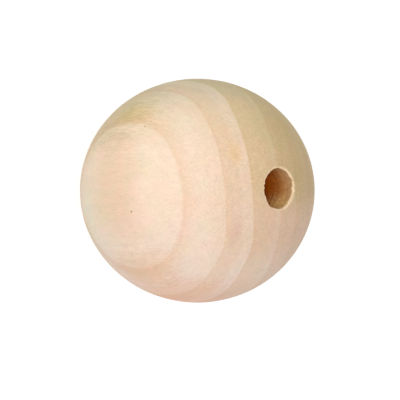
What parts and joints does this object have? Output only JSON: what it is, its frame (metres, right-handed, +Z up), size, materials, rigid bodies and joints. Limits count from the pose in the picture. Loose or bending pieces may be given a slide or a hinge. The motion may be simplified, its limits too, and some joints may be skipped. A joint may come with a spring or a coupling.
{
  "type": "wooden bead",
  "caption": "Round wooden bead, dried slightly oval, with a straight bore along the grain and rounded mouths, for threading on a cord, a wire or a dowel.",
  "frame": {"origin": "middle of the ball, on the axis of the bore", "axes": "+Z up along the bore and the grain, Y across the growth rings with the pith on its + side, X along the growth rings, the narrow way"},
  "size_m": [0.0293, 0.0306, 0.0302],
  "materials": {
    "wood": "bare, fine sanded, pale wood with wide growth rings, end grain round the bore"
  },
  "bodies": {
    "root": {"bead": "wood"}
  },
  "joints": []
}
